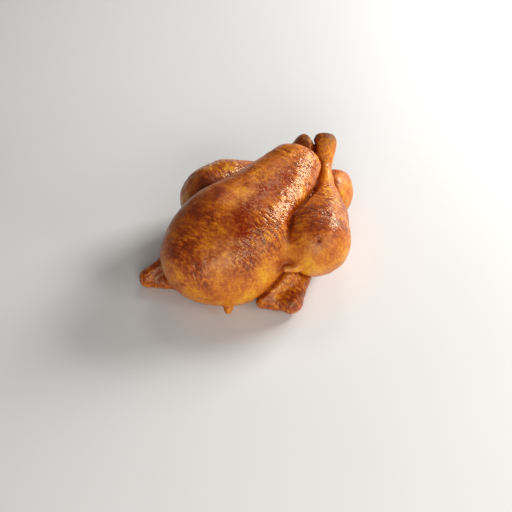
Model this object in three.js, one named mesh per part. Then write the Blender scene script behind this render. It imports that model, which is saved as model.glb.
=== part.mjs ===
// A whole roast chicken. It lies on its back, legs drawn up beside the breast, wings folded against the body.
// Millimetres, +Z up. The neck end faces -Y, the leg ends face +Y, and the bird's own right side is +X.
//
// The bird is one solid. Each muscle is a rounded cone or an ellipsoid, held as a field: a function that
// gives a point's distance to its surface, negative inside. Neighbouring muscles melt into each other over
// a stated width, and the skin is the surface where the joined field is zero.

import * as THREE from "three";

// Driving dimensions of the finished bird.
const WIDTH = 176; // across the legs
const LENGTH = 212; // from the neck end to the leg ends
const HEIGHT = 95; // from the table to the top of the breast
const FACET = 5.2; // spacing of the skin's facets
const BASE_SNAP = 0.8; // skin nearer to the table than this lies flat on it

const LEFT = -1;
const RIGHT = 1;

// A place on the bird, by its shares of the half width, the half length and the height.
const at = (across, along, up) =>
  new THREE.Vector3((across * WIDTH) / 2, (along * LENGTH) / 2, up * HEIGHT);

// A thickness, as a share of the height.
const thick = (share) => share * HEIGHT;

// Blend widths: how softly one piece of flesh runs into the next.
const BROAD = thick(0.22);
const SOFT = thick(0.14);
const TUCKED = thick(0.09);
const FOLD = thick(0.06);

// The torso leans to the left and its neck end slants, more so the nearer to the neck.
const LEAN = {
  starts: at(0, 0.255, 0).y,
  reach: thick(1.23),
  most: 1.2,
  sideways: thick(0.19),
  slant: 0.18,
  pivot: thick(0.15),
};

// ---- Fields ----

// The nearer of two fields, with the corner between them rounded off over a width.
function melt(a, b, width) {
  const overlap = Math.max(width - Math.abs(a - b), 0) / width;
  return Math.min(a, b) - (overlap * overlap * width) / 4;
}

// Several fields melted together over one width.
const meltAll = (width, ...fields) =>
  fields.reduce((joined, field) => melt(joined, field, width));

// An ellipsoid, which may be turned about the vertical by some degrees.
function ellipsoid(point, centre, radii, turn = 0) {
  const vertical = new THREE.Vector3(0, 0, 1);
  const p = point.clone().sub(centre).applyAxisAngle(vertical, -THREE.MathUtils.degToRad(turn));
  const unit = p.clone().divide(radii).length();
  const steepness = p.clone().divide(radii).divide(radii).length();
  if (steepness === 0) return -Math.min(radii.x, radii.y, radii.z);
  return (unit * (unit - 1)) / steepness;
}

// A cone with ball-shaped ends, the skin around two balls of different size.
function roundCone(point, start, end, startRadius, endRadius) {
  const axis = end.clone().sub(start);
  const length = axis.length();
  axis.divideScalar(length);
  const fromStart = point.clone().sub(start);
  const along = fromStart.dot(axis);
  const away = Math.sqrt(Math.max(fromStart.lengthSq() - along * along, 0));
  // The flank leans by this sine, so the nearest ball on the axis lies towards the thicker end.
  const sine = (startRadius - endRadius) / length;
  const cosine = Math.sqrt(1 - sine * sine);
  const nearest = THREE.MathUtils.clamp(along - (away * sine) / cosine, 0, length);
  const radius = startRadius + (endRadius - startRadius) * (nearest / length);
  return Math.hypot(away, along - nearest) - radius;
}

// ---- Anatomy ----

// Carries a point into the torso's own upright frame, undoing its lean and slant.
function uprightInTorso(point) {
  const share = THREE.MathUtils.clamp((LEAN.starts - point.y) / LEAN.reach, 0, LEAN.most);
  return new THREE.Vector3(
    point.x + LEAN.sideways * share,
    point.y - LEAN.slant * (point.x + LEAN.pivot) * share,
    point.z,
  );
}

// The point as the other side of the bird would see it.
const seenFrom = (side, point) => new THREE.Vector3(side * point.x, point.y, point.z);

// A chain of rounded cones through stations, each a place and a radius as a share of the height.
function limb(point, ...stations) {
  const cones = stations.slice(1).map(([end, endShare], i) => {
    const [start, startShare] = stations[i];
    return roundCone(point, start, end, thick(startShare), thick(endShare));
  });
  return meltAll(FOLD, ...cones);
}

// The breast muscles, each a cone that tapers from the shoulder to the tip of the breastbone.
const BREASTS = {
  [RIGHT]: [[at(0.115, -0.34, 0.565), 0.41], [at(0.041, 0.484, 0.745), 0.19]],
  [LEFT]: [[at(0.215, -0.323, 0.566), 0.43], [at(0.065, 0.43, 0.75), 0.215]],
};
const breast = (p, side) => limb(seenFrom(side, p), ...BREASTS[side]);

// The breast over the rib cage and back that the bird lies on, closed by the shoulders and the crop.
// Its left flank is the fuller one.
function torso(point) {
  const p = uprightInTorso(point);
  const flank = limb(point, [at(-0.165, 0.1, 0.72), 0.225], [at(-0.09, 0.42, 0.74), 0.21]);
  const breasts = melt(breast(p, RIGHT), melt(breast(p, LEFT), flank, TUCKED), TUCKED);
  const shoulders = ellipsoid(p, at(-0.065, -0.552, 0.43), at(0.564, 0.415, 0.4));
  const back = ellipsoid(p, at(0, -0.076, 0.335), at(0.579, 0.826, 0.375));
  const crop = ellipsoid(p, at(0.029, -0.651, 0.27), at(0.452, 0.283, 0.265));
  return meltAll(SOFT, melt(breasts, shoulders, BROAD), back, crop);
}

// The belly closes the body behind the tip of the breast, down to the fleshy tail between the thighs.
function rear(p) {
  const belly = ellipsoid(p, at(0, 0.444, 0.41), at(0.353, 0.349, 0.33));
  const tail = limb(p, [at(0, 0.715, 0.2), 0.19], [at(0, 0.902, 0.21), 0.104]);
  return melt(belly, tail, SOFT);
}

// Each leg as on the right side: the drumstick from the knee to the shank, the knuckle of the ankle, and
// the middle of the thigh. The left leg is splayed a little wider.
const LEGS = {
  [RIGHT]: {
    drumstick: [
      [at(0.57, -0.105, 0.54), 0.355],
      [at(0.475, 0.15, 0.53), 0.26],
      [at(0.335, 0.43, 0.58), 0.125],
      [at(0.265, 0.56, 0.6), 0.09],
      [at(0.18, 0.7, 0.625), 0.083],
    ],
    knuckle: [[at(0.13, 0.79, 0.7), 0.105], [at(0.09, 0.865, 0.755), 0.125]],
    thigh: at(0.45, 0.24, 0.32),
  },
  [LEFT]: {
    drumstick: [
      [at(0.69, -0.017, 0.475), 0.335],
      [at(0.64, 0.13, 0.5), 0.285],
      [at(0.33, 0.5, 0.48), 0.11],
      [at(0.14, 0.67, 0.62), 0.11],
    ],
    knuckle: [[at(0.115, 0.72, 0.67), 0.12], [at(0.08, 0.785, 0.715), 0.13]],
    thigh: at(0.57, 0.24, 0.32),
  },
};

// The drumstick tapers from the knee to a narrow shank and ends in the thicker knuckle. The thigh lies low
// under it.
function leg(point, side) {
  const p = seenFrom(side, point);
  const { drumstick, knuckle, thigh } = LEGS[side];
  const shin = melt(limb(p, ...drumstick), limb(p, ...knuckle), TUCKED);
  return melt(shin, ellipsoid(p, thigh, at(0.27, 0.33, 0.302), 18), SOFT);
}

// The thigh's round end, which bulges out behind the drumstick.
const rump = (p, side) =>
  ellipsoid(seenFrom(side, p), at(0.327, 0.68, 0.311), at(0.204, 0.255, 0.245), 10);

// The right wing is folded flat: the upper arm lies along the breast, the forearm turns at the elbow, and
// the hand comes back, with flat skin between them.
function rightWing(p) {
  const upperArm = limb(p, [at(0.46, -0.38, 0.3), 0.1], [at(0.313, -0.643, 0.13), 0.075]);
  const forearm = limb(p, [at(0.548, -0.283, 0.2), 0.09], [at(0.582, -0.532, 0.125), 0.103]);
  const hand = limb(p, [at(0.563, -0.538, 0.11), 0.1], [at(0.302, -0.606, 0.08), 0.065]);
  const flat = limb(p, [at(0.5, -0.4, 0.14), 0.11], [at(0.43, -0.56, 0.1), 0.085]);
  return meltAll(FOLD, upperArm, forearm, hand, flat);
}

// The left wing is a raised rim of bone out to the elbow, and the hand along the table, with a shallow
// hollow between them.
function leftWing(p) {
  const rim = limb(p, [at(-0.67, -0.6, 0.34), 0.085], [at(-0.921, -0.875, 0.14), 0.062]);
  const hand = limb(p, [at(-0.912, -0.872, 0.085), 0.075], [at(-0.505, -0.741, 0.09), 0.075]);
  const flat = limb(p, [at(-0.91, -0.82, 0.08), 0.07], [at(-0.6, -0.62, 0.12), 0.11]);
  return meltAll(FOLD, rim, hand, flat);
}

// Skin that joins the two shanks behind the tip of the breast.
const ankleWeb = (p) => limb(p, [at(-0.11, 0.71, 0.6), 0.07], [at(0.13, 0.76, 0.63), 0.07]);

// The flap of neck skin that shows at the foot of the neck end.
const neckFlap = (p) => limb(p, [at(0, -0.79, 0.15), 0.09], [at(0.045, -0.855, 0.1), 0.04]);

// The whole bird, cut off flat where it rests on the table.
function bird(p) {
  const trunk = meltAll(SOFT, torso(p), rear(p), rump(p, RIGHT), rump(p, LEFT));
  const limbs = [leg(p, RIGHT), leg(p, LEFT), rightWing(p), leftWing(p)];
  return Math.max(meltAll(FOLD, trunk, ...limbs, ankleWeb(p), neckFlap(p)), -p.z);
}

// ---- From field to skin ----

// The eight corners of a grid cell, and its twelve edges as pairs of corners.
const CORNERS = [...Array(8).keys()].map((i) => [i & 1, (i >> 1) & 1, (i >> 2) & 1]);
const EDGES = CORNERS.flatMap((_, i) => [1, 2, 4].filter((bit) => !(i & bit)).map((bit) => [i, i | bit]));

// Meshes the field's zero surface: one vertex in each grid cell that the surface crosses, and one
// four-sided face around each grid edge that it cuts.
function skinOf(field, low, high, spacing) {
  const size = high.clone().sub(low).divideScalar(spacing).ceil().addScalar(1);
  const index = (i, j, k) => i + size.x * (j + size.y * k);
  const gridPoint = (i, j, k) => new THREE.Vector3(i, j, k).multiplyScalar(spacing).add(low);
  const values = new Float64Array(size.x * size.y * size.z);
  for (let k = 0; k < size.z; k++)
    for (let j = 0; j < size.y; j++)
      for (let i = 0; i < size.x; i++) values[index(i, j, k)] = field(gridPoint(i, j, k));

  closePinches(values, size, index);

  const vertexOfCell = new Map();
  const vertices = [];
  for (let k = 0; k < size.z - 1; k++)
    for (let j = 0; j < size.y - 1; j++)
      for (let i = 0; i < size.x - 1; i++) {
        const vertex = cellVertex((di, dj, dk) => values[index(i + di, j + dj, k + dk)]);
        if (!vertex) continue;
        vertexOfCell.set(index(i, j, k), vertices.length);
        vertices.push(settled(field, vertex.multiplyScalar(spacing).add(gridPoint(i, j, k))));
      }

  const triangles = [];
  for (let k = 1; k < size.z - 1; k++)
    for (let j = 1; j < size.y - 1; j++)
      for (let i = 1; i < size.x - 1; i++)
        for (let axis = 0; axis < 3; axis++) {
          const here = values[index(i, j, k)] < 0;
          const [u, v] = [(axis + 1) % 3, (axis + 2) % 3];
          const next = [i, j, k];
          next[axis] += 1;
          const there = values[index(...next)] < 0;
          if (here === there) continue;
          const ring = [[0, 0], [1, 0], [1, 1], [0, 1]].map(([du, dv]) => {
            const cell = [i, j, k];
            cell[u] -= du;
            cell[v] -= dv;
            return vertexOfCell.get(index(...cell));
          });
          if (!here) ring.reverse();
          triangles.push(...splitQuad(vertices, ring));
        }
  return geometryOf(vertices, triangles);
}

// Fills crevices too narrow for the grid. Where the corners of a grid square are inside and outside by
// turns, the skin would touch itself along a line, so its outside corners are moved just inside.
function closePinches(values, size, index) {
  const justInside = -1e-3;
  const squares = [[[1, 0, 0], [0, 1, 0]], [[0, 1, 0], [0, 0, 1]], [[0, 0, 1], [1, 0, 0]]];
  let filled = true;
  while (filled) {
    filled = false;
    for (let k = 0; k < size.z - 1; k++)
      for (let j = 0; j < size.y - 1; j++)
        for (let i = 0; i < size.x - 1; i++)
          for (const [u, v] of squares) {
            const corner = (a, b) =>
              index(i + a * u[0] + b * v[0], j + a * u[1] + b * v[1], k + a * u[2] + b * v[2]);
            const ring = [corner(0, 0), corner(1, 0), corner(1, 1), corner(0, 1)];
            const inside = ring.map((place) => values[place] < 0);
            if (inside[0] !== inside[2] || inside[1] !== inside[3] || inside[0] === inside[1]) continue;
            for (const place of ring) values[place] = Math.min(values[place], justInside);
            filled = true;
          }
  }
}

// The mean of the points where the surface cuts a cell's edges, in shares of the cell.
function cellVertex(valueAt) {
  const corner = CORNERS.map((c) => valueAt(...c));
  const sum = new THREE.Vector3();
  let cuts = 0;
  for (const [a, b] of EDGES) {
    if (corner[a] < 0 === corner[b] < 0) continue;
    const share = corner[a] / (corner[a] - corner[b]);
    sum.add(new THREE.Vector3(...CORNERS[a]).lerp(new THREE.Vector3(...CORNERS[b]), share));
    cuts++;
  }
  return cuts ? sum.divideScalar(cuts) : null;
}

// Slides a vertex along the field's slope until it lies on the surface.
function settled(field, vertex) {
  const rounds = 3;
  const reach = 0.2; // how far apart the field is sampled for its slope
  const gentlest = 0.25; // keeps a step short where the slope nearly vanishes
  for (let round = 0; round < rounds; round++) {
    const slope = new THREE.Vector3();
    for (const axis of ["x", "y", "z"]) {
      const ahead = vertex.clone();
      const behind = vertex.clone();
      ahead[axis] += reach;
      behind[axis] -= reach;
      slope[axis] = (field(ahead) - field(behind)) / (2 * reach);
    }
    vertex.addScaledVector(slope, -field(vertex) / Math.max(slope.lengthSq(), gentlest));
  }
  return vertex;
}

// Two triangles for a four-sided face, split along its shorter diagonal.
function splitQuad(vertices, [a, b, c, d]) {
  const across = vertices[a].distanceTo(vertices[c]);
  const over = vertices[b].distanceTo(vertices[d]);
  return across < over ? [a, b, c, a, c, d] : [b, c, d, b, d, a];
}

function geometryOf(vertices, triangles) {
  const places = vertices.flatMap((vertex) => vertex.toArray());
  const geometry = new THREE.BufferGeometry();
  geometry.setAttribute("position", new THREE.Float32BufferAttribute(places, 3));
  geometry.setIndex(triangles);
  return geometry;
}

// Brings the skin to the driving dimensions, stands it over the origin and lays its base flat on the table.
function fitted(geometry) {
  geometry.computeBoundingBox();
  const { min, max } = geometry.boundingBox;
  const span = max.clone().sub(min);
  geometry.translate(-(min.x + max.x) / 2, -(min.y + max.y) / 2, -min.z);
  geometry.scale(WIDTH / span.x, LENGTH / span.y, HEIGHT / span.z);
  const position = geometry.getAttribute("position");
  for (let i = 0; i < position.count; i++)
    if (position.getZ(i) < BASE_SNAP) position.setZ(i, 0);
  return geometry;
}

function chickenMesh() {
  const margin = 0.25; // room around the bird's box for the grid, as a share
  const low = at(-1 - margin, -1 - margin, -margin / 2);
  const high = at(1 + margin, 1 + margin, 1 + margin / 2);
  const geometry = fitted(skinOf(bird, low, high, FACET));
  geometry.computeVertexNormals();
  const roastedSkin = new THREE.MeshStandardMaterial({
    name: "roasted_skin",
    color: new THREE.Color(0.66, 0.33, 0.1),
    roughness: 0.38,
    metalness: 0,
  });
  const mesh = new THREE.Mesh(geometry, roastedSkin);
  mesh.name = "roast_chicken";
  return mesh;
}

const chicken = new THREE.Group();
chicken.add(chickenMesh());

export default chicken;
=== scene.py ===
"""A whole roast chicken on its back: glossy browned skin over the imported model, on a plain pale floor.

The skin is one fine mesh. Each muscle is a rounded cone or an ellipsoid, held as a field that gives a point's
distance to its surface, negative inside. The fields melt into each other. The zero surface is meshed on a
grid, and wrinkles, dimples and pits are then raised on it. What differs from place to place, such as how
brown the skin is, is worked out for each vertex and read by the material.

Places are shares of the bird's box: of its half width, its half length and its height. The bird's own right
side is +X, and x = 0 is its breastbone until the whole is moved into the middle of its box at the end.
"""

import itertools
import math

import bpy
import numpy as np
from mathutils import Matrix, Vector


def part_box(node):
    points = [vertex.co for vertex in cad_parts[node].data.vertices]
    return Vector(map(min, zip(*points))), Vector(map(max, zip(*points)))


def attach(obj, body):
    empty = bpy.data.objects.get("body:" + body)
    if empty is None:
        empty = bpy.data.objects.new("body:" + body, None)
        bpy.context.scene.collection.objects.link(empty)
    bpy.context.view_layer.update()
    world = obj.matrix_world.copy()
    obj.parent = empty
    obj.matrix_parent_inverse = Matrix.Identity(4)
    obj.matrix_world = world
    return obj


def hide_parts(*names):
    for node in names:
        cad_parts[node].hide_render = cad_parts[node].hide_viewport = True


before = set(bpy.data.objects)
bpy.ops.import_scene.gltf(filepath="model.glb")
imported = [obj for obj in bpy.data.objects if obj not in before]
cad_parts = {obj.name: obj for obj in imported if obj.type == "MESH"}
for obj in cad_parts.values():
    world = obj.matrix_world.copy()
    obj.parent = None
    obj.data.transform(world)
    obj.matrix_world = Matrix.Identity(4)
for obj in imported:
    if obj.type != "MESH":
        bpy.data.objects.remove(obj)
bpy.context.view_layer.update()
LOW, HIGH = (np.array(corner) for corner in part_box("roast_chicken"))
WIDTH, LENGTH, HEIGHT = HIGH - LOW

MM = 0.001
GRID = 1.2 * MM  # spacing of the skin's vertices
RIGHT, LEFT = 1, -1


def at(across, along, up):
    """A place on the bird, by its shares of the half width, the half length and the height."""
    return np.array([across * WIDTH / 2, along * LENGTH / 2, up * HEIGHT])


def thick(share):
    """A thickness, as a share of the height."""
    return share * HEIGHT


# Blend widths: how softly one piece of flesh runs into the next.
BROAD, SOFT, TUCKED, FOLD, CREASE = (thick(share) for share in (0.22, 0.14, 0.09, 0.06, 0.025))

# Widths and depths of the furrows beside the legs and the wings.
LEG_FURROW, WING_FURROW = 2.4 * MM, 1.8 * MM
RIGHT_LEG_DEPTH, LEFT_LEG_DEPTH, WING_DEPTH = 4.5 * MM, 3.5 * MM, 3.0 * MM


# ---- Fields ----


def ramp(x, low, high):
    """Rises smoothly from 0 at low to 1 at high."""
    t = np.clip((x - low) / (high - low), 0, 1)
    return t * t * (3 - 2 * t)


def melt(a, b, width):
    """The nearer of two fields, with the corner between them rounded off over a width."""
    overlap = np.maximum(width - np.abs(a - b), 0) / width
    return np.minimum(a, b) - overlap * overlap * width / 4


def melt_all(width, *fields):
    """Several fields melted together, one after another."""
    joined = fields[0]
    for field in fields[1:]:
        joined = melt(joined, field, width)
    return joined


def tuck(a, b, width, depth, blend=CREASE):
    """Two pieces of flesh pressed together, with a furrow along the line where they meet."""
    return melt(a, b, blend) + depth * np.exp(-(((a - b) / width) ** 2))


def carve(a, b, width):
    """Field a with field b taken out of it."""
    return -melt(-a, b, width)


def ellipsoid(points, centre, radii, turn=0):
    """An ellipsoid, which may be turned about the vertical by some degrees."""
    c, s = math.cos(math.radians(turn)), math.sin(math.radians(turn))
    x, y, z = (points - centre).T
    local = np.stack([c * x + s * y, c * y - s * x, z], 1)
    unit = np.linalg.norm(local / radii, axis=1)
    steepness = np.linalg.norm(local / radii**2, axis=1)
    return unit * (unit - 1) / np.maximum(steepness, 1e-9)


def round_cone(points, start, end, start_radius, end_radius):
    """A cone with ball-shaped ends, the skin around two balls of different size."""
    axis = end - start
    length = np.linalg.norm(axis)
    axis = axis / length
    from_start = points - start
    along = from_start @ axis
    away = np.sqrt(np.maximum((from_start**2).sum(1) - along**2, 0))
    sine = (start_radius - end_radius) / length
    cosine = math.sqrt(1 - sine**2)
    nearest = np.clip(along - away * sine / cosine, 0, length)
    return np.hypot(away, along - nearest) - start_radius - (end_radius - start_radius) * nearest / length


def limb(points, *stations):
    """A chain of rounded cones through stations, each a place and a radius as a share of the height."""
    cones = [
        round_cone(points, start, end, thick(start_share), thick(end_share))
        for (start, start_share), (end, end_share) in zip(stations, stations[1:])
    ]
    return melt_all(FOLD, *cones)


# ---- Anatomy ----


def seen_from(side, points):
    """The points as they lie to the leg on that side, since both legs are given as on the right."""
    return points * np.array([side, 1, 1])


def upright_in_torso(points):
    """Undoes the torso's lean to the left and the slant of its neck end."""
    upright_until, reach = at(0, 0.255, 0)[1], thick(1.23)
    lean, slant, pivot = thick(0.19), 0.18, -thick(0.15)
    share = np.clip((upright_until - points[:, 1]) / reach, 0, 1.2)
    upright = points.copy()
    upright[:, 0] += lean * share
    upright[:, 1] -= slant * (points[:, 0] - pivot) * share
    return upright


def torso(points):
    """Two breast muscles over the rib cage, closed by the shoulders, the back and the crop."""
    p = upright_in_torso(points)
    right = round_cone(p, at(0.115, -0.34, 0.565), at(0.041, 0.484, 0.745), thick(0.41), thick(0.19))
    left = round_cone(p, at(-0.215, -0.323, 0.566), at(-0.065, 0.43, 0.75), thick(0.43), thick(0.215))
    flank = round_cone(points, at(-0.165, 0.1, 0.72), at(-0.09, 0.42, 0.74), thick(0.225), thick(0.21))
    left = melt(left, flank, TUCKED)
    shoulders = ellipsoid(p, at(-0.065, -0.552, 0.43), at(0.564, 0.415, 0.4))
    back = ellipsoid(p, at(0, -0.076, 0.335), at(0.579, 0.826, 0.375))
    crop = ellipsoid(p, at(0.029, -0.651, 0.27), at(0.452, 0.283, 0.265))
    return melt_all(SOFT, melt(melt(right, left, TUCKED), shoulders, BROAD), back, crop)


def rear(points):
    """The belly behind the tip of the breast, and the fleshy tail between the thighs."""
    belly = ellipsoid(points, at(0, 0.444, 0.41), at(0.353, 0.349, 0.33))
    tail = round_cone(points, at(0, 0.715, 0.2), at(0, 0.902, 0.21), thick(0.19), thick(0.104))
    return melt(belly, tail, SOFT)


# Stations down each drumstick, from the knee to the top of the ankle: a place, and a radius as a share of
# the height. Both legs are given as on the right side.
LEGS = {
    RIGHT: [
        (at(0.57, -0.105, 0.54), 0.355),
        (at(0.475, 0.15, 0.53), 0.26),
        (at(0.335, 0.43, 0.58), 0.125),
        (at(0.265, 0.56, 0.6), 0.09),
        (at(0.18, 0.7, 0.625), 0.083),
    ],
    LEFT: [
        (at(0.69, -0.017, 0.475), 0.335),
        (at(0.64, 0.13, 0.5), 0.285),
        (at(0.33, 0.5, 0.48), 0.11),
        (at(0.14, 0.67, 0.62), 0.11),
    ],
}
KNUCKLES = {
    RIGHT: [(at(0.13, 0.79, 0.7), 0.105), (at(0.09, 0.865, 0.755), 0.125)],
    LEFT: [(at(0.115, 0.72, 0.67), 0.12), (at(0.08, 0.785, 0.715), 0.13)],
}


def ham(points, side):
    """The thigh's main muscle, low under the drumstick."""
    middle = at(0.45 if side == RIGHT else 0.57, 0.24, 0.32)
    return ellipsoid(seen_from(side, points), middle, at(0.27, 0.33, 0.302), 18)


def rump(points, side):
    """The thigh's round end, which bulges out behind the drumstick."""
    return ellipsoid(seen_from(side, points), at(0.327, 0.68, 0.311), at(0.204, 0.255, 0.245), 10)


def knuckle(points, side):
    """The ankle's thick end, cut off blunt, with pits where the joint shows."""
    p = seen_from(side, points)
    (start, start_share), (end, end_share) = KNUCKLES[side]
    outwards = (end - start) / np.linalg.norm(end - start)
    joint = round_cone(p, start, end, thick(start_share), thick(end_share))
    cut = thick(end_share * 0.72)  # from the middle of the end's ball to the blunt face
    joint = carve(joint, cut - (p - end) @ outwards, CREASE)
    depth = rounding = thick(0.03)
    for across, up, share in ((-0.02, 0.03, 0.034), (0.05, -0.02, 0.016)):
        mouth = end + outwards * cut + at(across, 0, up)
        pit = round_cone(p, mouth, mouth - outwards * depth, thick(share), thick(share / 2))
        joint = carve(joint, pit, rounding)
    return joint


def leg(points, side):
    p = seen_from(side, points)
    drumstick = melt(limb(p, *LEGS[side]), knuckle(points, side), TUCKED)
    return melt(drumstick, ham(points, side), SOFT)


def right_wing(p):
    """Folded flat: the upper arm lies along the breast, the forearm turns at the elbow and comes back."""
    upper_arm = limb(p, (at(0.46, -0.38, 0.3), 0.1), (at(0.313, -0.643, 0.13), 0.075))
    forearm = limb(p, (at(0.548, -0.283, 0.2), 0.09), (at(0.582, -0.532, 0.125), 0.103))
    hand = limb(p, (at(0.563, -0.538, 0.11), 0.1), (at(0.302, -0.606, 0.08), 0.065))
    flat = limb(p, (at(0.5, -0.40, 0.14), 0.11), (at(0.43, -0.56, 0.1), 0.085))
    return melt_all(FOLD, upper_arm, forearm, hand, flat)


def left_wing(p):
    """A raised rim of bone out to the elbow, and the hand lying along the table, with a hollow between."""
    rim = limb(p, (at(-0.67, -0.6, 0.34), 0.085), (at(-0.921, -0.875, 0.14), 0.062))
    hand = limb(p, (at(-0.912, -0.872, 0.085), 0.075), (at(-0.505, -0.741, 0.09), 0.075))
    flat = limb(p, (at(-0.91, -0.82, 0.08), 0.07), (at(-0.6, -0.62, 0.12), 0.11))
    return melt_all(FOLD, rim, hand, flat)


def skin_web(p):
    """The thin fold of skin stretched from the breast over the wing to the knee."""
    return limb(p, (at(0.48, -0.49, 0.475), 0.032), (at(0.56, -0.43, 0.46), 0.032))


def ankle_web(p):
    """Skin that joins the two shanks behind the tip of the breast."""
    return limb(p, (at(-0.11, 0.71, 0.6), 0.07), (at(0.13, 0.76, 0.63), 0.07))


def neck_flap(p):
    return limb(p, (at(0.01, -0.8, 0.14), 0.06), (at(0.05, -0.865, 0.1), 0.038))


def bird(p):
    """The whole bird, cut off flat where it rests."""
    trunk = melt_all(SOFT, torso(p), rear(p), rump(p, RIGHT), rump(p, LEFT))
    # Towards the neck, one sheet of skin spans from the breast to the knee and hides the furrow between them.
    apart = ramp(p[:, 1], at(0, -0.42, 0)[1], at(0, -0.18, 0)[1])
    blend = CREASE * apart + TUCKED * (1 - apart)
    whole = tuck(trunk, leg(p, RIGHT), LEG_FURROW, RIGHT_LEG_DEPTH * apart, blend)
    whole = tuck(whole, leg(p, LEFT), LEG_FURROW, LEFT_LEG_DEPTH)
    for wing in (right_wing(p), left_wing(p)):
        whole = tuck(whole, wing, WING_FURROW, WING_DEPTH)
    whole = melt_all(FOLD, whole, ankle_web(p), skin_web(p))
    whole = melt(whole, neck_flap(p), CREASE)
    return np.maximum(whole, -p[:, 2])


# ---- From field to skin ----

CORNERS = [np.array(corner) for corner in itertools.product((0, 1), repeat=3)]
EDGES = [(a, b) for a, b in itertools.combinations(CORNERS, 2) if np.abs(a - b).sum() == 1]


def field_on_grid(field, low, high, spacing):
    """The field's value at each point of a grid, one layer at a time."""
    steps = [np.arange(a, b + spacing, spacing) for a, b in zip(low, high)]
    layer = np.stack(np.meshgrid(steps[1], steps[2], indexing="ij"), -1).reshape(-1, 2)
    shape = len(steps[1]), len(steps[2])
    values = [field(np.insert(layer, 0, x, axis=1)).reshape(shape) for x in steps[0]]
    return np.stack(values)


def close_pinches(values):
    """Fills crevices too narrow for the grid, where the skin would touch itself along a line."""
    just_inside = -1e-6
    pinched = True
    while pinched:
        pinched = False
        for u, v in itertools.combinations(np.eye(3, dtype=int), 2):
            extent = np.array(values.shape) - u - v
            shifts = (0 * u, u, u + v, v)
            corner = [values[tuple(slice(s, s + n) for s, n in zip(shift, extent))] for shift in shifts]
            inside = [c < 0 for c in corner]
            bad = (inside[0] == inside[2]) & (inside[1] == inside[3]) & (inside[0] != inside[1])
            for c in corner:
                c[bad] = np.minimum(c[bad], just_inside)
            pinched = pinched or bad.any()
    return values


def surface_net(values):
    """Vertices in grid units, one in each cell that the surface crosses, and the faces between them."""
    inside = values < 0
    extent = np.array(values.shape) - 1
    count = np.zeros(extent, int)
    for corner in CORNERS:
        count += inside[tuple(slice(c, c + n) for c, n in zip(corner, extent))]
    crossed = (count > 0) & (count < len(CORNERS))
    cells = np.argwhere(crossed)
    number = np.full(crossed.shape, -1)
    number[crossed] = np.arange(len(cells))

    total, cuts = np.zeros((len(cells), 3)), np.zeros(len(cells))
    for a, b in EDGES:
        here, there = values[tuple((cells + a).T)], values[tuple((cells + b).T)]
        cut = (here < 0) != (there < 0)
        share = here / np.where(cut, here - there, 1)
        total += np.where(cut[:, None], a + share[:, None] * (b - a), 0)
        cuts += cut
    vertices = cells + total / cuts[:, None]

    faces = []
    for axis in range(3):
        step, u, v = (np.eye(3, dtype=int)[(axis + turn) % 3] for turn in range(3))
        near = tuple(slice(0, -1) if a == axis else slice(1, -1) for a in range(3))
        far = tuple(slice(1, None) if a == axis else slice(1, -1) for a in range(3))
        edges = np.argwhere(inside[near] != inside[far]) + 1 - step
        ring = np.stack([number[tuple((edges - shift).T)] for shift in (0 * u, u, u + v, v)], 1)
        outward = inside[tuple(edges.T)]
        faces.append(np.where(outward[:, None], ring, ring[:, ::-1]))
    return vertices, np.concatenate(faces)


def slope(field, points, reach=0.2 * MM):
    """The direction in which the field grows, which is the skin's normal."""
    steps = reach * np.eye(3)
    return np.stack([field(points + s) - field(points - s) for s in steps], 1) / (2 * reach)


def unit(vectors):
    return vectors / np.maximum(np.linalg.norm(vectors, axis=-1, keepdims=True), 1e-9)


def settled(field, points, rounds=2):
    """Slides points along the field's slope until they lie on the surface."""
    for _ in range(rounds):
        grows = slope(field, points)
        points = points - grows * (field(points) / np.maximum((grows**2).sum(1), 0.25))[:, None]
    return points


# ---- Noise ----

DICE = np.random.default_rng(20)
SHUFFLE = DICE.permutation(256)
GRADIENTS = unit(DICE.normal(size=(256, 3)))


def noise(points, lump, seed=0):
    """Smooth noise from about -1 to 1, whose lumps are about that wide."""
    p = points / lump + 17.3 * seed
    cell = np.floor(p).astype(int)
    inner = p - cell
    fade = inner**3 * (inner * (inner * 6 - 15) + 10)
    total = np.zeros(len(p))
    for corner in CORNERS:
        x, y, z = ((cell + corner) & 255).T
        gradient = GRADIENTS[SHUFFLE[(SHUFFLE[(SHUFFLE[x] + y) & 255] + z) & 255]]
        weight = np.where(corner, fade, 1 - fade).prod(1)
        total += weight * (gradient * (inner - corner)).sum(1)
    return 1.7 * total


def layered(points, lump, layers=3, seed=0):
    """Noise with finer, weaker layers laid over the first."""
    weights = [0.6**n for n in range(layers)]
    parts = [w * noise(points, lump / 2**n, seed + n) for n, w in enumerate(weights)]
    return sum(parts) / sum(weights)


def wandering(points, distance, lump, seed):
    """Points shifted by noise, so that the edge of a patch wanders."""
    shift = [noise(points, lump, seed + n) for n in range(3)]
    return points + distance * np.stack(shift, 1)


def patches(points, *spots):
    """Soft spots run together. Each is a place, a radius in millimetres and a strength."""
    clear = np.ones(len(points))
    for place, radius, strength in spots:
        distance = ((points - at(*place)) ** 2).sum(1) / (radius * MM) ** 2
        clear *= 1 - strength * np.exp(-distance)
    return 1 - clear


def trail(points, radius, *places):
    """1 along a line of places, falling softly to 0 around it."""
    nearest = np.full(len(points), np.inf)
    stations = [at(*place) for place in places]
    for start, end in zip(stations, stations[1:]):
        span = end - start
        along = np.clip((points - start) @ span / (span @ span), 0, 1)
        nearest = np.minimum(nearest, ((points - start - along[:, None] * span) ** 2).sum(1))
    return np.exp(-nearest / (radius * MM) ** 2)
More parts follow.
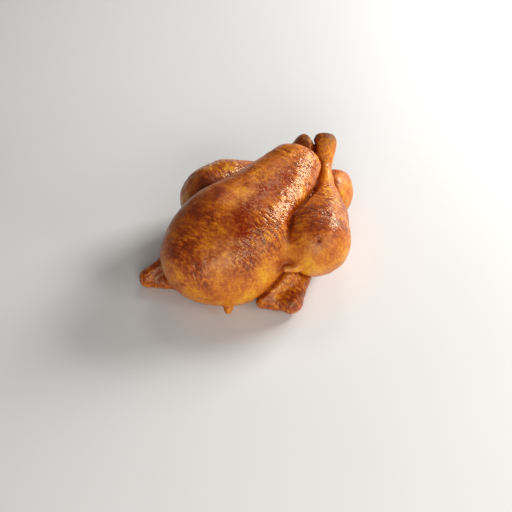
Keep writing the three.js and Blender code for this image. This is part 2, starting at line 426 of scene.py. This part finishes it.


# ---- Skin: where it is brown, red, pale, charred and wrinkled, with painted shade and highlights ----

# Each spot is a place, a radius in millimetres and a strength. The lacquered line is only places.
BROWNED = (
    ((-0.41, -0.37, 0.99), 8, 1.0),  # left of the breastbone
    ((-0.49, -0.60, 0.91), 9, 0.8),
    ((-0.56, -0.90, 0.67), 8, 1.0),  # left shoulder
    ((-0.40, -0.86, 0.74), 7, 0.7),
    ((-0.46, -0.74, 0.80), 10, 0.35),
    ((-0.25, -0.94, 0.60), 7, 0.8),
    ((-0.15, -0.99, 0.42), 6, 0.8),  # over the neck
    ((0.04, -0.88, 0.46), 4, 0.9),
    ((0.55, -0.03, 0.89), 9, 1.0),  # on top of the right knee
    ((0.55, -0.11, 0.89), 8, 0.7),
    ((0.65, -0.20, 0.84), 12, 0.5),
    ((0.73, -0.29, 0.79), 4, 1.0),  # the dimple on its front
    ((0.40, 0.67, 0.59), 6, 0.7),  # on the right rump
    # browner inside the left knee, partly painted shade in the hollow beside the breast
    ((-0.66, -0.13, 0.78), 13, 0.9),  # inside of the left knee
    ((-0.80, -0.84, 0.23), 10, 0.8),  # left wing
)
GOLDEN = (
    ((0.24, -0.76, 0.28), 14, 1.0),  # right of the neck
    ((0.12, -0.77, 0.12), 10, 0.9),
    ((0.33, -0.63, 0.47), 12, 0.9),
    ((0.03, -0.88, 0.45), 9, 0.6),
    ((-0.20, -0.99, 0.25), 12, 0.8),
    ((-0.41, -0.98, 0.47), 4, 0.9),  # streak on the left shoulder
    ((-0.17, 0.00, 0.98), 8, 0.9),  # along the breastbone
    ((-0.22, -0.24, 0.99), 9, 0.8),
    ((-0.20, -0.66, 0.88), 8, 0.6),
    ((-0.11, 0.41, 0.97), 9, 0.9),
    ((0.00, 0.49, 0.97), 8, 0.6),
    ((0.47, -0.41, 0.64), 9, 0.9),  # beside the right leg's crease
    ((0.34, 0.12, 0.84), 10, 0.7),
    ((0.72, -0.42, 0.50), 15, 0.9),  # front of the right knee
    ((0.95, -0.12, 0.55), 14, 0.8),
    ((0.48, 0.64, 0.50), 17, 0.7),  # right rump
    ((0.49, 0.31, 0.75), 11, 0.9),  # right calf
    ((0.66, 0.19, 0.76), 10, 0.8),
    ((0.79, 0.09, 0.73), 10, 0.6),
    ((0.30, 0.53, 0.70), 9, 0.9),
    ((0.12, 0.65, 0.84), 9, 0.6),  # tip of the breast
    ((0.19, 0.77, 0.79), 10, 1.0),  # right ankle
    ((0.58, -0.38, 0.30), 8, 0.8),  # right wing
    ((0.50, -0.53, 0.24), 9, 0.7),
    ((-0.90, -0.25, 0.58), 10, 0.9),  # left leg
    ((-0.77, 0.13, 0.77), 12, 0.9),
    ((-0.59, 0.17, 0.79), 10, 0.9),
)
LACQUERED = (
    (0.06, 0.10, 0.96),  # a dark red line down the breastbone
    (0.02, -0.12, 0.97),
    (-0.04, -0.37, 0.98),
    (-0.04, -0.51, 0.94),
    (0.05, -0.60, 0.85),
    (0.15, -0.66, 0.75),
)
CRINKLED = (
    ((0.19, 0.41, 0.90), 14, 1.0),  # right side of the breast's tail end
    ((0.23, 0.21, 0.90), 14, 1.0),
    ((0.12, 0.65, 0.82), 10, 0.9),
    ((-0.11, 0.41, 0.97), 10, 0.7),
    ((0.26, -0.07, 0.90), 12, 0.9),  # right side of the breast's neck end
    ((0.35, -0.31, 0.83), 12, 0.9),
    ((0.20, -0.35, 0.93), 12, 0.9),
    ((0.23, -0.53, 0.79), 14, 1.0),
    ((0.17, -0.70, 0.66), 12, 1.0),
    ((0.49, 0.31, 0.75), 13, 1.0),  # right calf
    ((0.66, 0.19, 0.76), 13, 1.0),
    ((0.79, 0.09, 0.73), 12, 0.9),
    ((0.55, -0.05, 0.89), 15, 0.9),  # top of the right knee
    ((0.66, -0.16, 0.87), 14, 0.3),
    ((0.75, -0.02, 0.80), 14, 0.5),
    ((-0.30, -0.60, 0.93), 14, 0.5),  # left of the breastbone, towards the neck
    ((-0.45, -0.85, 0.75), 14, 0.6),
    ((-0.25, -0.95, 0.50), 14, 0.6),
    ((-0.17, 0.00, 0.98), 14, 0.4),  # along the breastbone
    ((-0.77, 0.13, 0.77), 14, 1.0),  # left calf
    ((-0.59, 0.17, 0.79), 13, 1.0),
    ((0.61, -0.55, 0.23), 10, 1.0),  # right wing
)
# Pale skin on the stretched fold and the right wing. On the neck end's left rim and along the fold, the
# paleness is partly a painted highlight.
PALE_AND_RIM_HIGHLIGHT = (
    ((0.49, -0.47, 0.49), 5, 0.6),  # the stretched fold
    ((-0.65, -0.94, 0.43), 7, 0.8),  # left rim of the neck end
    ((-0.52, -0.93, 0.52), 4, 0.6),
    ((0.45, -0.70, 0.17), 2.5, 0.7),  # right wing
)
CHARRED = (
    ((0.15, 0.87, 0.87), 8, 1.0),  # right ankle's end
    ((0.07, 0.93, 0.84), 8, 1.0),
    ((-0.08, 0.77, 0.84), 8, 0.8),  # left ankle's end
)


def skin_masks(points, normals, nearness):
    """What the skin is like at each point, and its painted shade and highlights, by name, each from 0 to 1.
    """
    p = wandering(points, 3 * MM, 12 * MM, seed=40)
    p = wandering(p, 1.5 * MM, 4 * MM, seed=50)
    facing_up = ramp(normals[:, 2], -0.2, 0.9)
    crease, hollow = nearness
    wings = np.maximum(ramp(-right_wing(points), -2 * MM, 0), ramp(-left_wing(points), -2 * MM, 0))
    browning = 0.39 + 0.05 * facing_up + 0.16 * layered(points, 24 * MM, 3, seed=3)
    browning = browning + 0.36 * patches(p, *BROWNED) - 0.30 * patches(p, *GOLDEN) + 0.03 * wings
    return {
        "browning": np.clip(browning, 0, 1),
        "lacquer": np.clip(trail(p, 9, *LACQUERED), 0, 1),
        "char": patches(p, *CHARRED),
        # pale skin, partly a painted highlight on the neck end's rim and the stretched fold
        "pale": patches(p, *PALE_AND_RIM_HIGHLIGHT),
        # painted shade: darker in creases and hollows, less so on the wings
        "shade": np.clip(0.8 * crease + 0.55 * hollow, 0, 1) * (1 - 0.5 * wings),
        "crinkle": np.minimum(0.18 + patches(p, *CRINKLED) + 0.35 * wings, 0.82) * (1 - 0.7 * crease),
    }


def ring_coordinates(points, start, end, radius, stretch):
    """Coordinates along an axis and round it. Noise read in them comes out as streaks that run round."""
    axis = unit(end - start)
    up = unit(np.array([0, 0, 1]) - axis[2] * axis)
    side = np.cross(up, axis)
    from_start = points - start
    angle = np.arctan2(from_start @ side, from_start @ up)
    away = np.hypot(from_start @ side, from_start @ up)
    return np.stack([from_start @ axis, radius * angle / stretch, 0.4 * away], 1)


def grain_of(points):
    """Each point's coordinates in the part of the bird that it belongs to, so that wrinkles run round it."""
    trunk = melt_all(SOFT, torso(points), rear(points), rump(points, RIGHT), rump(points, LEFT))
    # Each part's coordinates are shifted, so that no two parts have the same wrinkles.
    parts = [(trunk, ring_coordinates(points, at(-0.12, -0.8, 0.3), at(0.05, 0.8, 0.45), thick(0.45), 2.2))]
    for side in (RIGHT, LEFT):
        p = seen_from(side, points)
        rings = ring_coordinates(p, LEGS[side][0][0], KNUCKLES[side][1][0], thick(0.25), 2.6)
        parts.append((leg(points, side), rings + side * thick(1)))
    rings = ring_coordinates(points, at(0.313, -0.643, 0.13), at(0.548, -0.283, 0.2), thick(0.12), 1.8)
    parts.append((right_wing(points), rings + thick(3)))
    rings = ring_coordinates(points, at(-0.921, -0.875, 0.14), at(-0.67, -0.6, 0.3), thick(0.12), 1.8)
    parts.append((left_wing(points), rings + thick(5)))
    nearest = np.argmin([distance for distance, _ in parts], axis=0)
    return np.choose(nearest[:, None], [rings for _, rings in parts])


def furrows(grain, width, seed):
    """Wrinkles: 1 on a ridge, falling steeply to 0 in a furrow."""
    p = wandering(grain, 0.5 * width, 1.8 * width, seed)
    crest = 0.55  # the noise's height on top of a ridge
    return np.minimum(np.abs(noise(p, width, seed + 5)) / crest, 1) ** 0.7


def dimple(points, place, radius, depth):
    """A round pit with a raised rim."""
    away = np.linalg.norm(points - at(*place), axis=1) / (radius * MM)
    return depth * MM * (0.45 * np.exp(-((away - 1.1) ** 2) / 0.12) - np.exp(-(away**2) / 0.35))


def marks(points):
    """Small pits in the breast's tail end, the ringed dimple on the knee, and the nick in the wing."""
    total = dimple(points, (0.73, -0.29, 0.79), 3.4, 1.5)
    total -= 1.3 * MM * trail(points, 1.2, (0.62, -0.46, 0.23), (0.69, -0.43, 0.18))
    for place, radius in (((-0.04, 0.38, 0.96), 1.9), ((0.08, 0.54, 0.93), 1.8), ((0.21, 0.52, 0.86), 1.8)):
        total += dimple(points, place, radius, 0.9)
    return total


def skin_shape():
    """The skin's vertices and faces, and what its material needs to know at each vertex."""
    room = 0.15  # around the bird, as a share of its box
    low, high = at(-1 - room, -1 - room, -room / 2), at(1 + room, 1 + room, 1 + room / 2)
    net, faces = surface_net(close_pinches(field_on_grid(bird, low, high, GRID)))
    points = settled(bird, low + GRID * net)
    normals = unit(slope(bird, points, 0.6 * MM))
    middle = (points.max(0) + points.min(0)) / 2 * np.array([1, 1, 0])

    near, far = 3 * MM, 12 * MM
    crease = 1 - ramp(bird(points + near * normals) / near, 0.3, 0.95)
    hollow = 1 - ramp(bird(points + far * normals) / far, 0.3, 0.95)
    masks = skin_masks(points, normals, (crease, hollow))

    grain = grain_of(points)
    coarse, fine = furrows(grain, 5.5 * MM, seed=21), furrows(grain, 3.0 * MM, seed=61)
    masks["ridge"] = 0.5 * coarse + 0.5 * fine
    level = 0.7  # the wrinkle height that neither swells nor shrinks the bird
    folds = masks["crinkle"] * (0.7 * MM * (coarse - level) + 0.35 * MM * (fine - level))
    lumps = 0.7 * MM * layered(points, 22 * MM, 2, seed=11) + 0.35 * MM * noise(points, 8 * MM, seed=15)
    # The skin is smooth where it rests, and nearly so inside the furrows.
    free = ramp(points[:, 2], 0.5 * MM, 4 * MM) * (1 - 0.8 * crease)
    height = (lumps + folds) * free + marks(points)
    placed = points + normals * height[:, None] - middle
    placed[:, 2] = np.maximum(placed[:, 2], 0)
    return placed, faces, masks, grain


def skin_object():
    points, faces, masks, grain = skin_shape()
    mesh = bpy.data.meshes.new("skin")
    mesh.from_pydata(points.tolist(), [], faces.tolist())
    for name, values in masks.items():
        layer = mesh.attributes.new(name, "FLOAT", "POINT")
        layer.data.foreach_set("value", values.astype(np.float32))
    layer = mesh.attributes.new("grain", "FLOAT_VECTOR", "POINT")
    layer.data.foreach_set("vector", grain.astype(np.float32).ravel())
    mesh.polygons.foreach_set("use_smooth", np.ones(len(mesh.polygons), bool))
    mesh.update()
    skin = bpy.data.objects.new("chicken_skin", mesh)
    bpy.context.scene.collection.objects.link(skin)
    print("skin:", len(points), "vertices,", 2 * len(faces), "triangles")
    return skin


# ---- Materials ----


def linear(red, green, blue):
    """A colour given as it looks on screen, from 0 to 255, as the shader takes it."""
    channels = [c / 255 for c in (red, green, blue)]
    return [c / 12.92 if c <= 0.04045 else ((c + 0.055) / 1.055) ** 2.4 for c in channels] + [1]


class Shader:
    """Short ways to add nodes to a material. A value is a number, a colour or another node's output."""

    def __init__(self, name):
        self.material = bpy.data.materials.new(name)
        self.material.use_nodes = True
        self.tree = self.material.node_tree
        self.surface = self.tree.nodes["Principled BSDF"]

    def add(self, kind, inputs, **settings):
        node = self.tree.nodes.new(kind)
        for key, value in settings.items():
            setattr(node, key, value)
        for key, value in inputs.items():
            self.put(node.inputs[key], value)
        return node

    def put(self, socket, value):
        if isinstance(value, bpy.types.NodeSocket):
            self.tree.links.new(value, socket)
        else:
            socket.default_value = value

    def set(self, **inputs):
        for key, value in inputs.items():
            self.put(self.surface.inputs[key.replace("_", " ")], value)

    def attribute(self, name, output="Fac"):
        return self.add("ShaderNodeAttribute", {}, attribute_name=name).outputs[output]

    def math(self, operation, a, b=0.0, c=0.0):
        return self.add("ShaderNodeMath", {0: a, 1: b, 2: c}, operation=operation).outputs[0]

    def noise(self, vector, lump, detail, roughness=0.55, distortion=0.0):
        inputs = {"Vector": vector, "Scale": 1 / lump, "Detail": detail, "Roughness": roughness}
        return self.add("ShaderNodeTexNoise", {**inputs, "Distortion": distortion}).outputs["Fac"]

    def ramp(self, value, low, high):
        inputs = {"Value": value, "From Min": low, "From Max": high}
        return self.add("ShaderNodeMapRange", inputs, interpolation_type="SMOOTHSTEP").outputs["Result"]

    def mix(self, share, a, b, blend="MIX"):
        node = self.add("ShaderNodeMix", {0: share, 6: a, 7: b}, data_type="RGBA", blend_type=blend)
        return node.outputs[2]

    def colours(self, value, stops):
        node = self.add("ShaderNodeValToRGB", {"Fac": value})
        elements = node.color_ramp.elements
        while len(elements) < len(stops):
            elements.new(0.5)
        for element, (position, colour) in zip(elements, stops):
            element.position, element.color = position, colour
        return node.outputs["Color"]

    def bump(self, height, distance, normal=None):
        inputs = {"Height": height, "Distance": distance, "Strength": 1.0}
        if normal is not None:
            inputs["Normal"] = normal
        return self.add("ShaderNodeBump", inputs).outputs["Normal"]


def roasted_skin():
    """Browned from golden to dark brown, with painted shade in furrows and creases, and glossier where
    crinkled.
    """
    s = Shader("roasted_skin")
    place = s.add("ShaderNodeTexCoord", {}).outputs["Object"]
    grain = s.attribute("grain", "Vector")
    crinkle, lacquered, charred = (s.attribute(name) for name in ("crinkle", "lacquer", "char"))
    # Painted shade and light: browner low in the wrinkles' furrows and in the bump's low parts, more golden
    # on their ridges.
    furrow = s.math("MULTIPLY", s.math("SUBTRACT", 1.0, s.attribute("ridge")), crinkle)
    wrinkles = s.noise(grain, 2.1 * MM, detail=2, roughness=0.5, distortion=0.4)
    wrinkle_shading = s.math("MULTIPLY", s.math("SUBTRACT", 0.5, wrinkles), crinkle)

    blotch = s.ramp(s.noise(place, 9 * MM, detail=5, roughness=0.62, distortion=0.3), 0.3, 0.7)
    mottle = s.ramp(s.noise(place, 2.8 * MM, detail=4, roughness=0.65), 0.3, 0.7)
    fleck = s.ramp(s.noise(place, 1.6 * MM, detail=3, roughness=0.65), 0.35, 0.65)
    brown = s.attribute("browning")
    for texture, weight in ((blotch, 0.24), (mottle, 0.18), (fleck, 0.14), (furrow, 0.30), (wrinkle_shading, 1.9)):
        brown = s.math("MULTIPLY_ADD", texture, weight, brown)
    brown = s.math("MINIMUM", s.math("SUBTRACT", brown, 0.27), 0.85)
    colour = s.colours(
        brown,
        [
            (0.00, linear(232, 170, 26)),
            (0.20, linear(218, 134, 24)),
            (0.42, linear(192, 99, 22)),
            (0.66, linear(154, 58, 12)),
            (1.00, linear(96, 34, 12)),
        ],
    )
    broken = s.ramp(mottle, -0.3, 0.6)  # lets what is under the lacquer and the char show through
    lacquer = s.math("MULTIPLY", lacquered, broken)
    colour = s.mix(s.math("MULTIPLY", lacquer, 0.9), colour, linear(138, 24, 6))
    scorch = s.ramp(s.noise(place, 2.6 * MM, detail=3, roughness=0.6), 0.56, 0.68)
    scorch = s.math("MULTIPLY", scorch, s.ramp(brown, 0.35, 0.7))
    colour = s.mix(s.math("MULTIPLY", scorch, 0.4), colour, linear(96, 34, 10))
    # Pale colour, partly a painted highlight on the neck end's left rim and the stretched fold.
    pale_and_highlight = s.math("MULTIPLY", s.attribute("pale"), s.ramp(mottle, 0.0, 0.8))
    colour = s.mix(pale_and_highlight, colour, linear(222, 176, 116))
    char = s.math("MULTIPLY", charred, broken)
    colour = s.mix(s.math("MULTIPLY", char, 0.85), colour, linear(70, 36, 20))
    # Painted shade: the colour is darkened in creases and hollows.
    colour = s.mix(s.math("MULTIPLY", s.attribute("shade"), 0.7), colour, linear(190, 96, 60), "MULTIPLY")

    rough_skin = s.math("MULTIPLY_ADD", crinkle, 0.85, 0.15)
    normal = s.bump(s.math("MULTIPLY", wrinkles, rough_skin), 1.3 * MM)
    pores = s.math("MULTIPLY", s.noise(place, 1.4 * MM, detail=1, roughness=0.5), rough_skin)
    normal = s.bump(pores, 0.45 * MM, normal)
    roughness = 0.42
    for texture, weight in ((crinkle, -0.26), (blotch, 0.06), (charred, 0.25), (lacquered, -0.14)):
        roughness = s.math("MULTIPLY_ADD", texture, weight, roughness)
    s.set(Base_Color=colour, Roughness=roughness, Normal=normal, Subsurface_Weight=0.06)
    s.set(Subsurface_Radius=(1.0, 0.35, 0.12), Subsurface_Scale=1.5 * MM, Specular_IOR_Level=0.68)
    s.set(Specular_Tint=(1.0, 0.92, 0.62, 1.0))
    return s.material


def floor_material():
    s = Shader("pale_floor")
    place = s.add("ShaderNodeTexCoord", {}).outputs["Object"]
    tone = s.ramp(s.noise(place, 400 * MM, detail=2), 0.3, 0.7)
    s.set(Base_Color=s.mix(tone, (0.76, 0.79, 0.86, 1), (0.79, 0.82, 0.89, 1)), Roughness=0.8)
    return s.material


# ---- Studio ----

AZIMUTH, ELEVATION = 28.5, 45  # degrees
CAMERA_AIM = at(0.051, -0.284, 0.246)
CAMERA_DISTANCE = 1.392
FOCAL_LENGTH = 105.5  # millimetres, on a 36 mm sensor


def make_camera():
    """Looks down at the bird's right front, from the neck end."""
    azimuth, elevation = math.radians(AZIMUTH), math.radians(ELEVATION)
    level = math.cos(elevation)
    back = Vector((math.sin(azimuth) * level, -math.cos(azimuth) * level, math.sin(elevation)))
    data = bpy.data.cameras.new("camera")
    data.sensor_width = 36
    data.lens = FOCAL_LENGTH
    camera = bpy.data.objects.new("camera", data)
    camera.location = Vector(CAMERA_AIM) + back * CAMERA_DISTANCE
    camera.rotation_euler = (-back).to_track_quat("-Z", "Y").to_euler()
    bpy.context.scene.collection.objects.link(camera)
    bpy.context.scene.camera = camera


def area_light(name, place, size, power, colour):
    data = bpy.data.lights.new(name, "AREA")
    data.shape, data.energy, data.color = "RECTANGLE", power, colour
    data.size, data.size_y = size
    lamp = bpy.data.objects.new(name, data)
    lamp.location = place
    aim = Vector((0, 0, HEIGHT / 2))
    lamp.rotation_euler = (aim - Vector(place)).to_track_quat("-Z", "Y").to_euler()
    bpy.context.scene.collection.objects.link(lamp)


def make_lights():
    """A strong softbox behind the bird, a weak one high behind it, and others on its right and in front."""
    area_light("back", (0.5, 0.95, 0.6), (0.5, 0.4), 16.5, (1, 0.96, 0.86))
    area_light("top", (-0.2, 0.7, 1.0), (0.3, 0.3), 1.5, (1, 0.93, 0.78))
    area_light("side", (1.1, -0.1, 0.5), (0.5, 0.5), 3.6, (1, 0.96, 0.86))
    area_light("front", (0.7, -1.1, 0.6), (0.8, 0.8), 10.5, (1, 0.94, 0.8))
    world = bpy.data.worlds.new("studio")
    world.use_nodes = True
    world.node_tree.nodes["Background"].inputs["Color"].default_value = (1, 0.97, 0.93, 1)
    world.node_tree.nodes["Background"].inputs["Strength"].default_value = 0.11
    bpy.context.scene.world = world
    bpy.context.scene.view_settings.view_transform = "Standard"


def make_floor():
    half, gap = 3.0, 0.2 * MM
    corners = [(-half, -half, -gap), (half, -half, -gap), (half, half, -gap), (-half, half, -gap)]
    mesh = bpy.data.meshes.new("floor")
    mesh.from_pydata(corners, [], [(0, 1, 2, 3)])
    mesh.materials.append(floor_material())
    floor = bpy.data.objects.new("floor", mesh)
    bpy.context.scene.collection.objects.link(floor)


make_camera()
make_lights()
make_floor()

skin = skin_object()
skin.data.materials.append(roasted_skin())
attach(skin, "root")
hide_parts("roast_chicken")
